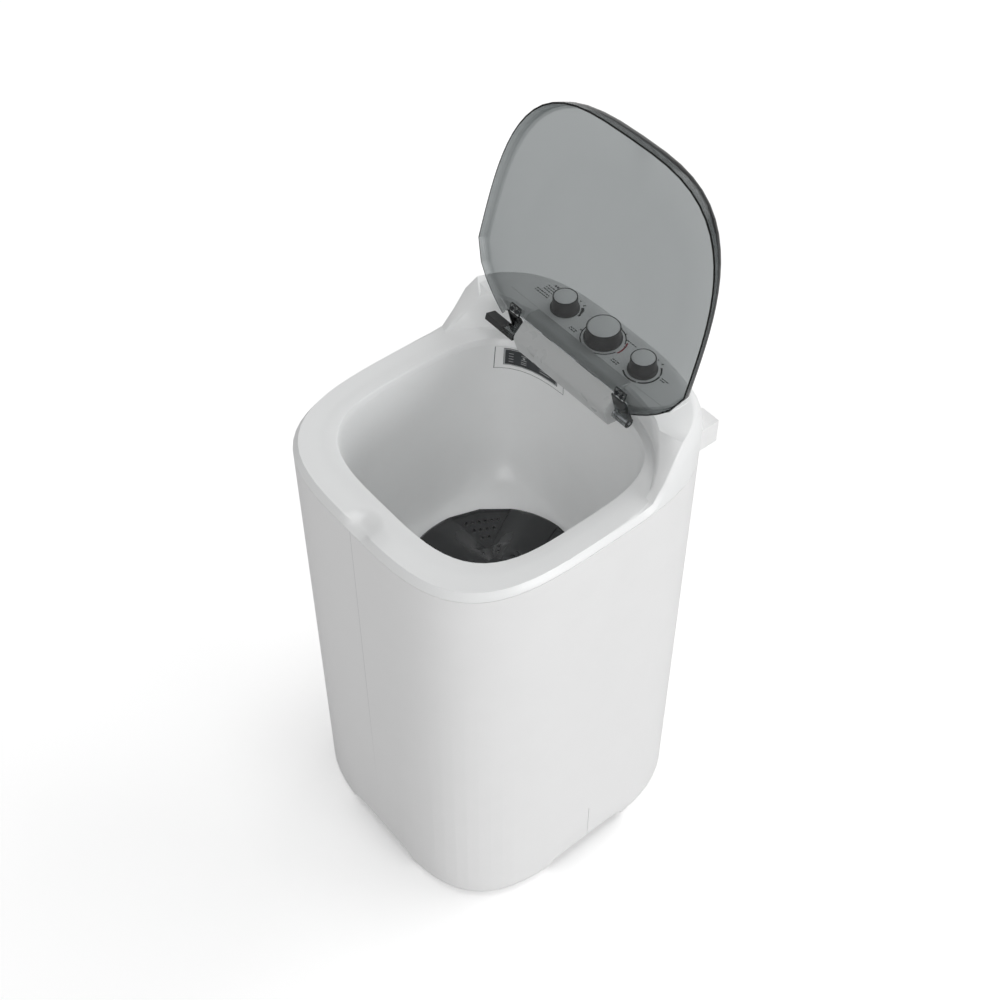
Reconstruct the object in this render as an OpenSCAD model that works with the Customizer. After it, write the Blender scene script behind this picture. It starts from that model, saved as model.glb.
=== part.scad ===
// Top-loading semi-automatic washing machine with its lid open.
// Millimetres. The origin is on the floor under the middle of the cabinet, +Z is up,
// the front faces -Y and the control console is at the back.

/* [Cabinet] */
// Width of the cabinet at the deck seam
cabinet_w = 554; // [500:1:600]
// Depth of the cabinet at the deck seam
cabinet_d = 592; // [540:1:640]
// Height of the deck seam above the floor
cabinet_h = 916; // [860:1:980]
// Depth that the cabinet loses from the seam down to the floor, front and back together
cabinet_draft = 8; // [0:1:16]
// Squareness of the plan outline, where 2 is an ellipse and more is squarer
cabinet_square = 3.5; // [2.8:0.1:4.5]
// Moulded wall of the cabinet
cabinet_wall = 4; // [3:0.5:5]
// Radius under the bottom edge of the cabinet
bottom_r = 26; // [16:1:34]
// Height of the arches between the feet
arch_h = 40; // [24:1:60]
// Half width of the arches between the feet
arch_half_w = 95; // [70:1:120]
// Height of the foot blocks in the four corners
foot_block_h = 34; // [20:1:50]
// Length of the split line above the right arch
slit_len = 98; // [40:1:140]
// Width of the split line above the right arch
slit_w = 1.4; // [0.8:0.1:3]

/* [Deck] */
// Height of the lid seat above the deck seam
ring_rise = 14; // [11:0.5:20]
// Height of the console top above the lid seat
console_rise = 86; // [70:1:100]
// Height of the console's outer wall above the deck seam
console_side_h = 69; // [55:1:76]
// Wall of the deck moulding
deck_wall = 3.5; // [3:0.5:4]
// Half width of the opening
opening_a = 219; // [205:1:230]
// Half depth of the opening
opening_b = 213.5; // [200:0.5:222]
// Shift of the opening towards the front
opening_shift = 11.5; // [6:0.5:16]
// Depth of the lip that turns down into the tub
lip_h = 18; // [14:0.5:24]
// Half width of the finger notch in the front rim
notch_half_w = 36; // [24:1:44]
// Depth of the finger notch below the lid seat
notch_depth = 9; // [4:0.5:9]
// Sideways place of the finger notch
notch_x = 8; // [-10:1:12]

/* [Tub] */
// Height of the tub floor above the cabinet's floor line
tub_floor_z = 552; // [500:1:600]
// Wall of the tub
tub_wall = 4; // [3:0.5:5]
// Radius of the dish in the floor that holds the pulsator
dish_r = 178; // [174:1:184]
// Depth of the dish below the foot of the walls
dish_depth = 6; // [4:0.5:8]

/* [Lid] */
// Distance of the lid's sides inside the cabinet's
lid_side_inset = 28; // [24:1:36]
// Distance of the lid's front edge inside the cabinet's
lid_front_inset = 11; // [10:1:20]
// Length of the lid's oval behind its widest line
lid_rear = 137; // [130:1:142]
// Place of the widest line behind the cabinet's centre
lid_centre_y = 31; // [30:1:36]
// Height of the lid's skirt at its sides
lid_skirt_h = 18; // [14:1:24]
// Extra height of the panel at the middle of its front edge
lid_crown = 21; // [8:1:26]
// Wall of the lid
lid_wall = 2.6; // [2:0.2:3.4]
// Height of the hinge axis above the lid seat
hinge_rise = 38; // [36:1:42]
// Distance of the hinge axis in front of the cabinet's back
hinge_inset = 131; // [129:1:134]
// Angle between the closed lid and the open lid
lid_open_angle = 106.4; // [95:0.2:108]
// Radius of the hinge pins
pin_r = 3; // [2.5:0.5:4]
// Left end of the hinge cover
nose_left = 121; // [112:1:124]
// Right end of the hinge cover
nose_right = 106; // [100:1:112]
// Width of each hinge arm's barrel
barrel_w = 32; // [26:1:36]

/* [Controls] */
// Distance between the knobs
knob_pitch = 96; // [90:1:104]
// Distance of the knobs in front of the cabinet's back
knob_inset = 65; // [62:1:68]
// Top radius of the middle knob
big_knob_r = 29; // [24:0.5:31]
// Top radius of the two side knobs
small_knob_r = 21.5; // [18:0.5:24]
// Height of the knobs
knob_h = 27; // [22:1:32]
// Radius of the control spindles
spindle_r = 3; // [2.5:0.5:4]
// Half width of the control panel plate
panel_half_w = 196; // [180:1:200]

/* [Pulsator] */
// Radius of the pulsator
pulsator_r = 172; // [164:1:172]
// Height of the pulsator's hub above its rim
hub_rise = 46; // [36:1:56]
// Height of the five vanes above the rim line at the outer edge
vane_h = 15; // [10:0.5:20]
// Wall of the pulsator
pulsator_wall = 3; // [2.4:0.2:3.6]
// Radius of the water holes
water_hole_r = 2.4; // [1.6:0.1:3]

/* [Drive] */
// Radius of the pulsator shaft
shaft_r = 8; // [7:0.5:10]
// Height of the bearing housing
housing_h = 92; // [80:1:104]
// Radius of the driven pulley
drive_pulley_r = 84; // [70:1:90]
// Radius of the motor pulley
motor_pulley_r = 24; // [20:1:30]
// Distance from the pulsator shaft to the motor shaft
centre_distance = 165; // [160:1:172]
// Radius of the motor
motor_r = 62; // [54:1:66]
// Height of the motor
motor_h = 84; // [74:1:88]
// Thickness of the drive belt
belt_t = 5; // [4:0.5:6]
// Outer radius of the drain spigot
drain_r = 16; // [13:0.5:18]
// Length of the drain spigot outside the cabinet
spigot_len = 14; // [12:1:30]
// Radius of the capacitor
capacitor_r = 20; // [16:1:24]
// Length of the capacitor
capacitor_len = 72; // [60:1:90]

/* [Hidden] */
$fn = 64;

// Overrun of every cutting shape
over = 1;
// Gap between seated pieces that do not touch face to face
seat_gap = 0.3;
// Radial clearance of a shaft or pin in its bore
run_fit = 0.05;
// Radial clearance of a screw in its hole
screw_fit = 0.2;
// Gap under the closed lid and beside its hinge arms
lid_gap = 0.4;

// Half sizes of the cabinet
half_w = cabinet_w / 2;
half_d = cabinet_d / 2;
// Heights of the lid seat and of the console top
ring_z = cabinet_h + ring_rise;
console_z = ring_z + console_rise;
edge_z = cabinet_h + console_side_h;
// Where the tub rim meets the lip of the deck
rim_z = ring_z - lip_h;
// Hinge axis and the lid's front and side
hinge_y = half_d - hinge_inset;
hinge_z = ring_z + hinge_rise;
knob_y = half_d - knob_inset;
lid_a = half_w - lid_side_inset;
lid_front = half_d + lid_centre_y - lid_front_inset;

// Outlines

// Radius of a superellipse with half sizes a and b in the direction t
function oval_r(a, b, n, t) = pow(pow(abs(cos(t)) / a, n) + pow(abs(sin(t)) / b, n), -1 / n);
// Point in the direction t on an oval [half width, front half, rear half, front n, rear n, centre y]
function oval_point(s, t) =
    let (r = sin(t) < 0 ? oval_r(s[0], s[1], s[3], t) : oval_r(s[0], s[2], s[4], t))
    [r * cos(t), s[5] + r * sin(t)];
// The same oval moved outwards
function grown(s, g) = [s[0] + g, s[1] + g, s[2] + g, s[3], s[4], s[5]];
function oval_ring(s, z, angles) = [for (t = angles) let (p = oval_point(s, t)) [p[0], p[1], z]];
function signed_power(v, p) = sign(v) * pow(abs(v), p);
// Directions that lie closer together towards the corners of an outline
function spread(t) = atan2(signed_power(sin(t), 0.75), signed_power(cos(t), 0.75));
function smooth(v) = let (u = max(0, min(1, v))) u * u * (3 - 2 * u);
function mix(a, b, w) = a + (b - a) * w;
step_angle = 5;
round_angles = [for (t = [0:step_angle:355]) spread(t)];

// Closed outline with its corners rounded, each by its own radius
function unit(v) = v / norm(v);
function corner_arc(a, b, c, r, steps) =
    let (
        u = unit(a - b),
        w = unit(c - b),
        half = acos(u * w) / 2,
        centre = b + unit(u + w) * r / sin(half),
        p = b + u * r / tan(half) - centre,
        q = b + w * r / tan(half) - centre,
        from = atan2(p[1], p[0]),
        raw = atan2(q[1], q[0]) - from,
        turn = raw > 180 ? raw - 360 : raw < -180 ? raw + 360 : raw
    )
    [for (i = [0:steps]) centre + r * [cos(from + turn * i / steps), sin(from + turn * i / steps)]];
function rounded(points, radii, steps = 4) =
    let (n = len(points))
    [for (i = [0:n - 1]) each corner_arc(points[(i + n - 1) % n], points[i], points[(i + 1) % n], radii[i], steps)];

// Skin through a list of rings that have equally many points.
// Open ends are capped; a closed one joins its last ring to its first.
module loft(rings, closed = false) {
    n = len(rings[0]);
    m = len(rings);
    last = closed ? m - 1 : m - 2;
    sides = [
        for (j = [0:last], i = [0:n - 1])
            let (a = j * n, b = ((j + 1) % m) * n, k = (i + 1) % n)
            each [[a + i, b + i, b + k], [a + i, b + k, a + k]]
    ];
    caps = closed ? [] : [[for (i = [0:n - 1]) i], [for (i = [n - 1:-1:0]) (m - 1) * n + i]];
    polyhedron([for (r = rings) each r], concat(sides, caps), convexity = 10);
}

// Prism along X of an outline given in Y and Z
module along_x(from, to) {
    translate([from, 0, 0]) rotate([90, 0, 90]) linear_extrude(to - from) children();
}

// Cylinder along X
module rod_x(r, from, to) {
    translate([from, 0, 0]) rotate([0, 90, 0]) cylinder(r = r, h = to - from);
}

// Copies at the four corners of a rectangle
module corners(x, y) {
    for (sx = [-1, 1], sy = [-1, 1]) translate([sx * x, sy * y, 0]) children();
}

// Cabinet

// Outline of the cabinet at height z, moved outwards by g
function cabinet_oval(z, g) =
    let (b = half_d - cabinet_draft / 2 * (1 - z / cabinet_h))
    grown([half_w, b, b, cabinet_square, cabinet_square, 0], g);
function cabinet_ring(z, g) = oval_ring(cabinet_oval(z, g), z, round_angles);
cabinet_inner_r = bottom_r - cabinet_wall;
fillet_turns = [0, 25, 50, 72, 90];

// Rear service opening
service_half_w = 125;
service_low_share = 0.12;
service_drop = 106;
service_low = cabinet_h * service_low_share;
service_lap = 14;
cover_t = 2.5;
cover_screw_r = 2;
cover_head_r = 4;
cover_head_t = 2.4;
louvre_count = 7;
louvre_w = 130;
louvre_h = 5;
louvre_pitch = 14;

// Drain and cord outlets through the back wall
drain_drop = 52;
drain_z = tub_floor_z - drain_drop;
service_high = drain_z - service_drop;
grommet_lap = 5;
grommet_t = 3;
gland_x = 70;
gland_drop = 51;
gland_z = drain_z - gland_drop;
gland_r = 8;
gland_lap = 4;
gland_flange_t = 4;
gland_bore_r = 3.5;
gland_len = 16;

module arch_outline() {
    polygon([for (t = [0:10:180]) [arch_half_w * signed_power(cos(t), 0.5), arch_h * signed_power(sin(t), 0.5) - over]]);
}

// Distance of the back wall behind the centre at x and z
function wall_y(x, z, g = 0) =
    let (s = cabinet_oval(z, g)) s[2] * pow(1 - pow(abs(x) / s[0], s[4]), 1 / s[4]);
module service_corner_places(from) {
    x = service_half_w - service_lap;
    for (sx = [-1, 1], z = [service_low - service_lap / 2, service_high + service_lap / 2])
        translate([sx * x, from, z]) rotate([-90, 0, 0]) children();
}

module cabinet_shell() {
    outer = [for (f = fillet_turns) cabinet_ring(bottom_r * (1 - cos(f)), -bottom_r * (1 - sin(f)))];
    inner = [
        for (f = [90, 50, 0])
            cabinet_ring(cabinet_wall + cabinet_inner_r * (1 - cos(f)), -cabinet_wall - cabinet_inner_r * (1 - sin(f)))
    ];
    rings = concat(outer, [cabinet_ring(cabinet_h, 0), cabinet_ring(cabinet_h, -cabinet_wall)], inner);
    difference() {
        loft(rings, closed = true);
        rotate([90, 0, 0]) linear_extrude(cabinet_d + over, center = true) arch_outline();
        rotate([90, 0, 90]) linear_extrude(cabinet_w + over, center = true) arch_outline();
        translate([half_w - bottom_r, -slit_w / 2, arch_h - over * 3]) cube([bottom_r + over, slit_w, slit_len]);
        translate([-service_half_w, half_d - bottom_r, service_low])
            cube([service_half_w * 2, bottom_r + over, service_high - service_low]);
        service_corner_places(half_d - bottom_r) cylinder(r = cover_screw_r + screw_fit, h = bottom_r + over);
        translate([0, half_d - bottom_r, drain_z]) rotate([-90, 0, 0])
            cylinder(r = drain_r + grommet_t + seat_gap, h = bottom_r + over);
        translate([gland_x, half_d - bottom_r, gland_z]) rotate([-90, 0, 0])
            cylinder(r = gland_r + seat_gap, h = bottom_r + over);
    }
}

// The cabinet's walls are four quarters that meet at the seam in front and at the split line on the right,
// and the shells of the four feet carry them below the crown of the arches
foot_share = 0.8;
foot_top = arch_h * foot_share;
module cabinet_quarter(sx, sy) {
    color("white") intersection() {
        cabinet_shell();
        translate([sx > 0 ? 0 : -cabinet_w, sy > 0 ? 0 : -cabinet_d, foot_top]) cube([cabinet_w, cabinet_d, cabinet_h]);
    }
}
module cabinet_front_left() { cabinet_quarter(-1, -1); }
module cabinet_front_right() { cabinet_quarter(1, -1); }
module cabinet_rear_left() { cabinet_quarter(-1, 1); }
module cabinet_rear_right() { cabinet_quarter(1, 1); }
module feet() {
    color("white") intersection() {
        cabinet_shell();
        translate([-cabinet_w, -cabinet_d, -over]) cube([cabinet_w * 2, cabinet_d * 2, foot_top + over]);
    }
}

// Four blocks that carry the machine, one in each corner behind the foot's curved wall
module foot_blocks() {
    inner_g = -bottom_r - seat_gap;
    size = [(half_w - arch_half_w) * 2, (half_d - arch_half_w) * 2, foot_block_h + over * 2];
    color("whitesmoke") intersection() {
        loft([cabinet_ring(0, inner_g), cabinet_ring(foot_block_h, inner_g)]);
        corners(half_w, half_d) translate([0, 0, foot_block_h / 2]) cube(size, center = true);
    }
}

// Deck with the lid seat, the lip and the console

// Directions of the deck's rings, with extra ones around the finger notch
notch_from = 265;
notch_to = 275;
notch_steps = 8;
deck_angles = concat(
    [for (t = [0:step_angle:notch_from]) spread(t)],
    [for (i = [1:notch_steps - 1]) mix(spread(notch_from), spread(notch_to), i / notch_steps)],
    [for (t = [notch_to:step_angle:360 - step_angle]) spread(t)]
);
opening_n = 3.5;
opening_oval = [opening_a, opening_b, opening_b, opening_n, opening_n, -opening_shift];
console_run = 80;
console_from = half_d - 204;
notch_in = 6;
notch_steepness = 1.5;
function console_part(y) = smooth((y - console_from) / console_run);
// How much of the notch is felt at a point in front
function notch_part(p) =
    p[1] > 0 ? 0 : smooth(notch_steepness * (1 - abs(p[0] - notch_x) / notch_half_w));
// Ring of the deck: changes of the half sizes from the cabinet's, heights in front and at the back,
// the level where the notch starts to bite and the level where it bites fully
function deck_oval(a, bf, br, nr) = [half_w + a, half_d + bf, half_d + br, cabinet_square, nr, 0];
function deck_ring(s, front_z, rear_z, low, high) =
    [for (t = deck_angles)
        let (
            p = oval_point(s, t),
            bite = notch_part(p) * max(0, min(1, (front_z - low) / (high - low))),
            drop = min(notch_depth, high - low - seat_gap)
        )
        [p[0], p[1] + notch_in * bite, mix(front_z, rear_z, console_part(p[1])) - drop * bite]];
function between(p, q, w, z) =
    [for (i = [0:len(p) - 1]) [mix(p[i][0], q[i][0], w), mix(p[i][1], q[i][1], w), z]];
function between_all(p, q, w) = [for (i = [0:len(p) - 1]) mix(p[i], q[i], w)];

// Levels above the deck seam in front and on the console
sq = cabinet_square;
outer_low = cabinet_h + 2;
function up(z) = cabinet_h + z * ring_rise / 14;
function top(z) = console_z + z;
// Outer skin as [side, front, rear, rear squareness, front height, rear height]
skin = [
    [-2, -2, -2, sq, up(4.5), edge_z + 9],
    [-4, -5, -6, sq, up(8), top(-14)],
    [-5.5, -7, -11, sq, up(11), top(-6)],
    [-6.3, -8, -18, sq, up(12.5), top(-1.6)],
    [-6.6, -8.3, -26, sq, up(12.9), top(0)],
    [-6.8, -8.6, -104, 3.3, up(13.3), top(0)],
    [-7, -8.9, -109, 3.3, up(13.7), top(-5)]
];
// Inner skin in the same form
lining = [
    [-11.3, -12.8, -105.5, 3.3, up(10.4), top(-8.5)],
    [-11.1, -12.6, -101, 3.3, up(10.3), top(-deck_wall)],
    [-10.6, -12, -30, sq, up(10), top(-deck_wall)],
    [-9.2, -10.6, -15, sq, up(8.6), top(-9.5)],
    [-7.4, -8.4, -9.3, sq, up(6), top(-15.4)],
    [-5.4, -5.6, -5.5, sq, up(3.4), edge_z + 8]
];
seat_inset = 76;
seat_rear = half_d - seat_inset;
seat_n = 2.5;
seat_lift = 4;
boss_r = 5;
tub_screw_r = 1.6;
tub_boss_g = 7.3;
tub_screw_turns = [34, 90, 146, 214, 270, 326];
neck_r = 5;

module at_tub_screws(z) {
    for (t = tub_screw_turns) let (p = oval_point(grown(opening_oval, tub_boss_g), t))
        translate([p[0], p[1], z]) children();
}
module at_knobs(z) {
    for (i = [-1:1]) translate([i * knob_pitch, knob_y, z]) children();
}

module deck() {
    body = deck_oval(0, 0, 0, sq);
    lined = grown(body, -deck_wall);
    lining_low = up(1.4);
    lining_high = ring_z - deck_wall;
    outer = [for (k = skin) deck_ring(deck_oval(k[0], k[1], k[2], k[3]), k[4], k[5], outer_low, ring_z)];
    inner = [for (k = lining) deck_ring(deck_oval(k[0], k[1], k[2], k[3]), k[4], k[5], lining_low, lining_high)];
    foot = deck_ring(deck_oval(-7.2, -9, seat_rear - half_d, seat_n), ring_z, ring_z + seat_lift, outer_low, ring_z);
    seat = deck_ring(deck_oval(-10, -12, seat_rear - half_d - 4, seat_n), ring_z, ring_z, outer_low, ring_z);
    edge = oval_ring(grown(opening_oval, 5), ring_z - 2.5, deck_angles);
    under_foot = deck_ring(
        deck_oval(-11.5, -13, seat_rear - half_d + deck_wall, seat_n),
        lining_high, lining_high + seat_lift, lining_low, lining_high
    );
    plain_seat = oval_ring(deck_oval(-10, -12, seat_rear - half_d - 4, seat_n), ring_z, deck_angles);
    rings = concat(
        [oval_ring(grown(body, -1.2), cabinet_h, deck_angles)],
        [oval_ring(body, cabinet_h + 1.2, deck_angles)],
        [deck_ring(body, outer_low, edge_z, outer_low, ring_z)],
        outer,
        [foot, seat],
        [between_all(seat, edge, 0.25)],
        [between(plain_seat, edge, 0.55, ring_z - 1)],
        [edge],
        [oval_ring(grown(opening_oval, 1.5), ring_z - 3.8, deck_angles)],
        [oval_ring(opening_oval, ring_z - 6.5, deck_angles)],
        [oval_ring(grown(opening_oval, -1.4), rim_z, deck_angles)],
        [oval_ring(grown(opening_oval, deck_wall - 1.4), rim_z, deck_angles)],
        [oval_ring(grown(opening_oval, deck_wall), ring_z - 8, deck_angles)],
        [between(plain_seat, edge, 0.5, ring_z - deck_wall - 1.2)],
        [under_foot],
        inner,
        [deck_ring(lined, lining_low, edge_z, lining_low, lining_high)],
        [oval_ring(lined, cabinet_h, deck_angles)]
    );
    color("white") difference() {
        union() {
            loft(rings, closed = true);
            at_tub_screws(rim_z) cylinder(r = boss_r, h = lip_h - deck_wall - 0.5);
        }
        at_tub_screws(rim_z - over) cylinder(r = tub_screw_r + screw_fit, h = lip_h - deck_wall * 2);
        at_knobs(console_z - deck_wall - over) cylinder(r = neck_r + seat_gap, h = deck_wall + over * 2);
    }
}

// Tub

// Inside of the tub from the rim down: height, growth from the opening, squareness, centre y
tub_skin = [
    [rim_z, -1.4, 3.5, -opening_shift],
    [mix(rim_z, tub_floor_z, 0.31), -8, 3.5, -8],
    [tub_floor_z + 88, -16, 3.4, -5],
    [tub_floor_z + 48, -20, 3.1, -2.5],
    [tub_floor_z + 30, -24, 2.8, -1],
    [tub_floor_z + 18, -28, 2.4, 0]
];
tub_angles = [for (t = [0:6:354]) spread(t)];
function tub_ring(k, g, dz) = oval_ring(
    [opening_a + k[1] + g, opening_b + k[1] + g, opening_b + k[1] + g, k[2], k[2], k[3]], k[0] + dz, tub_angles);
function disc_ring(r, z) = [for (t = tub_angles) [r * cos(t), r * sin(t), z]];
flange_w = 14;
flange_t = 4;
pad_r = 60;
pad_h = 10;
tub_hole_r = 20;
tub_core_r = 32;
drain_y = 90;
drain_wall = 3;
tub_under_z = tub_floor_z - tub_wall;
pad_z = tub_under_z - pad_h;
// Motor plate under the tub
plate_x = 58;
plate_len = 176;
plate_half = 76;
plate_t = 3;
plate_gap = 18;
plate_z = tub_under_z - plate_gap - plate_t;
plate_screw_x = [66, 140];
plate_screw_y = 66;
plate_boss_r = 7;
housing_bolt_at = 46;
housing_bolt_r = 2.5;

module at_plate_screws(z) {
    for (x = plate_screw_x, sy = [-1, 1]) translate([x, sy * plate_screw_y, z]) children();
}
module at_housing_bolts(z) {
    for (i = [0:4]) rotate([0, 0, 54 + i * 72]) translate([housing_bolt_at, 0, z]) children();
}

module tub() {
    outer_walls = [for (i = [len(tub_skin) - 1:-1:1]) tub_ring(tub_skin[i], tub_wall, -tub_wall / 2)];
    inner_walls = [for (k = tub_skin) tub_ring(k, 0, 0)];
    foot = tub_floor_z + dish_depth;
    rings = concat(
        [disc_ring(tub_core_r, tub_under_z), disc_ring(dish_r - 7, tub_under_z)],
        [disc_ring(dish_r + 3, foot - 4), disc_ring(dish_r + 10, foot)],
        outer_walls,
        [tub_ring(tub_skin[0], tub_wall, -flange_t), tub_ring(tub_skin[0], flange_w, -flange_t)],
        [tub_ring(tub_skin[0], flange_w, 0)],
        inner_walls,
        [disc_ring(dish_r + 6, foot + 4), disc_ring(dish_r + 1, foot)],
        [disc_ring(dish_r - 8, tub_floor_z), disc_ring(tub_core_r, tub_floor_z)]
    );
    color("silver") difference() {
        union() {
            loft(rings);
            translate([0, 0, pad_z]) cylinder(r = pad_r, h = pad_h + over);
            at_plate_screws(plate_z + plate_t) cylinder(r = plate_boss_r, h = plate_gap + over);
        }
        translate([0, 0, pad_z - over]) cylinder(r = tub_hole_r, h = pad_h + tub_wall + over * 2);
        translate([0, drain_y, tub_under_z - over]) cylinder(r = drain_bore_r, h = tub_wall + over * 2);
        at_housing_bolts(pad_z - over) cylinder(r = housing_bolt_r + screw_fit, h = pad_h + over);
        at_plate_screws(plate_z + plate_t - over) cylinder(r = tub_screw_r + screw_fit, h = plate_gap);
        at_tub_screws(rim_z - flange_t - over) cylinder(r = tub_screw_r + screw_fit, h = flange_t + over * 2);
    }
}

// Round head screw that points up, its seat at the origin
module screw(r, len, head_r, head_t) {
    cylinder(r = r, h = len);
    translate([0, 0, -head_t]) cylinder(r = head_r, h = head_t);
}
small_head_r = 3.6;
small_head_t = 2.2;

module tub_screws() {
    color("silver") at_tub_screws(rim_z - flange_t)
        screw(tub_screw_r, flange_t + lip_h - deck_wall * 3, small_head_r, small_head_t);
}
module plate_screws() {
    color("silver") at_plate_screws(plate_z) screw(tub_screw_r, plate_t + plate_gap - over * 3, small_head_r, small_head_t);
}

// Panel and plate on the rear wall inside the tub
panel_low = 50;
panel_high = 1;
panel_left = -186;
panel_right = -56;
panel_t = 1.2;
plate_low = 40;
plate_high = 3;
plate_left = -174;
plate_right = -72;
label_t = 0.8;

// Piece of the tub's rear wall between two depths inside it
module wall_piece(left, right, low, high, depth, t) {
    z_low = rim_z - low;
    skins = [for (i = [0:1]) tub_skin[i]];
    intersection() {
        difference() {
            loft([tub_ring(skins[1], -depth, 0), tub_ring(skins[0], -depth, 0)]);
            loft([tub_ring(skins[1], -depth - t, -over), tub_ring(skins[0], -depth - t, over)]);
        }
        translate([left, 0, z_low]) cube([right - left, half_d, low - high]);
    }
}
module inner_panel() {
    color("gainsboro") wall_piece(panel_left, panel_right, panel_low, panel_high, seat_gap, panel_t);
}
module label_plate() {
    color("white") wall_piece(plate_left, plate_right, plate_low, plate_high, seat_gap * 2 + panel_t, label_t);
}

// Hinge cover between the arms
cover_back = hinge_y + 30.5;
cover_top = 2.5;
nose_top_y = hinge_y + 7;
nose_top = 6;
nose_front_y = hinge_y - 28;
nose_front_z = hinge_z + 20;
nose_low_y = hinge_y - 17;
nose_low_z = hinge_z - 18;
nose_back_y = hinge_y + 38.5;
nose_back_z = hinge_z - 28;
nose_under_y = hinge_y + 15.5;
nose_wall = 3;
bore_depth = 20;
end_block = 24;
module hinge_cover() {
    outline = rounded(
        [
            [cover_back, console_z], [cover_back, console_z + cover_top], [nose_top_y, console_z + nose_top],
            [nose_front_y, nose_front_z], [nose_low_y, nose_low_z],
            [nose_back_y, nose_back_z], [nose_under_y, console_z]
        ],
        [0.5, 1, 9, 12, 6, 3, 0.5]
    );
    pocket = [
        [nose_under_y - nose_wall * 2, console_z], [nose_top_y - nose_wall, console_z + nose_top - nose_wall],
        [nose_front_y + nose_wall * 2, nose_front_z - nose_wall],
        [nose_low_y + nose_wall, nose_low_z - nose_wall], [nose_low_y + nose_wall, ring_z],
        [nose_back_y - nose_wall, ring_z]
    ];
    color("silver") difference() {
        along_x(-nose_left, nose_right) polygon(outline);
        along_x(-nose_left + end_block, nose_right - end_block) polygon(pocket);
        translate([0, hinge_y, hinge_z]) rod_x(pin_r + run_fit, -nose_left - over, -nose_left + bore_depth);
        translate([0, hinge_y, hinge_z]) rod_x(pin_r + run_fit, nose_right - bore_depth, nose_right + over);
    }
}
module hinge_pins() {
    reach = barrel_w + lid_gap + over;
    color("silver") translate([0, hinge_y, hinge_z]) {
        rod_x(pin_r, -nose_left - reach, -nose_left + bore_depth - over);
        rod_x(pin_r, nose_right - bore_depth + over, nose_right + reach);
    }
}

// Control panel plate on the console
plate_front_y = half_d - 99;
plate_margin = 4;
overlay_t = 0.8;
overlay_z = console_z + overlay_t;
function plateau_y(x) = let (s = deck_oval(-6.6, -8.3, -26, sq)) s[2] * pow(1 - pow(abs(x) / s[0], sq), 1 / sq);
module control_panel() {
    back = [for (i = [8:-1:-8]) let (x = i * panel_half_w / 8) [x, plateau_y(x) - plate_margin]];
    outline = concat([[-panel_half_w, plate_front_y], [panel_half_w, plate_front_y]], back);
    color("white") difference() {
        translate([0, 0, console_z]) linear_extrude(overlay_t) polygon(outline);
        at_knobs(console_z - over) cylinder(r = neck_r + seat_gap, h = overlay_t + over * 2);
    }
}

// Rear service cover, bowed like the wall behind it
module rear_cover() {
    low = service_low - service_lap;
    high = service_high + service_lap;
    louvre_start = (service_low + service_high - (louvre_count - 1) * louvre_pitch) / 2;
    color("whitesmoke") intersection() {
        difference() {
            loft([cabinet_ring(low, seat_gap + cover_t), cabinet_ring(high, seat_gap + cover_t)]);
            loft([cabinet_ring(low - over, seat_gap), cabinet_ring(high + over, seat_gap)]);
            service_corner_places(half_d - bottom_r) cylinder(r = cover_screw_r + screw_fit, h = bottom_r * 2);
            for (i = [0:louvre_count - 1])
                translate([-louvre_w / 2, half_d - bottom_r, louvre_start + i * louvre_pitch])
                    cube([louvre_w, bottom_r * 2, louvre_h]);
        }
        translate([-service_half_w - service_lap, 0, low]) cube([(service_half_w + service_lap) * 2, half_d * 2, high - low]);
    }
}
module cover_screws() {
    len = cover_t + cabinet_wall + cover_head_r * 2;
    seat = wall_y(service_half_w - service_lap - cover_head_r, service_high + service_lap, cover_t + seat_gap * 2);
    color("silver") service_corner_places(seat) rotate([180, 0, 0]) screw(cover_screw_r, len, cover_head_r, cover_head_t);
}

// Holder for the end of the drain hose on the right rear corner, open from below
hook_inset = 85;
hook_x = half_w - hook_inset;
hook_w = 39;
hook_low = -19;
hook_high = 29;
hook_reach = 4;
hook_root = 59;
hook_bore_r = 10;
hook_bore_in = 11;
hook_roof = 6;
module hose_hook() {
    z_low = cabinet_h + hook_low;
    h = hook_high - hook_low;
    wall = oval_ring(deck_oval(seat_gap, seat_gap, seat_gap, sq), z_low - over, deck_angles);
    wall_top = oval_ring(deck_oval(seat_gap, seat_gap, seat_gap, sq), z_low + h + over, deck_angles);
    color("silver") difference() {
        translate([hook_x - hook_w / 2, half_d - hook_root, z_low]) cube([hook_w, hook_root + hook_reach, h]);
        loft([wall, wall_top]);
        translate([hook_x, half_d - hook_bore_in, z_low - over]) cylinder(r = hook_bore_r, h = h - hook_roof + over);
    }
}

module cord_gland() {
    seat = wall_y(gland_x - gland_r - gland_lap, gland_z) + seat_gap;
    translate([gland_x, seat + gland_flange_t - gland_len, gland_z]) rotate([-90, 0, 0])
        color("dimgray") difference() {
            union() {
                cylinder(r = gland_r, h = gland_len);
                translate([0, 0, gland_len - gland_flange_t]) cylinder(r = gland_r + gland_lap, h = gland_flange_t);
            }
            translate([0, 0, -over]) cylinder(r = gland_bore_r, h = gland_len + over * 2);
        }
}

// Timers under the console, their necks through it
timer_w = 40;
timer_h = 42;
spindle_in = 24;
module timer(i) {
    z = console_z - deck_wall;
    color("gray") translate([i * knob_pitch, knob_y, z]) difference() {
        union() {
            translate([-timer_w / 2, -timer_w / 2, -timer_h]) cube([timer_w, timer_w, timer_h]);
            cylinder(r = neck_r, h = deck_wall + overlay_t);
        }
        translate([0, 0, -spindle_in - over]) cylinder(r = spindle_r + run_fit, h = spindle_in + deck_wall + over * 3);
    }
}
module timer_left() { timer(-1); }
module timer_centre() { timer(0); }
module timer_right() { timer(1); }

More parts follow.
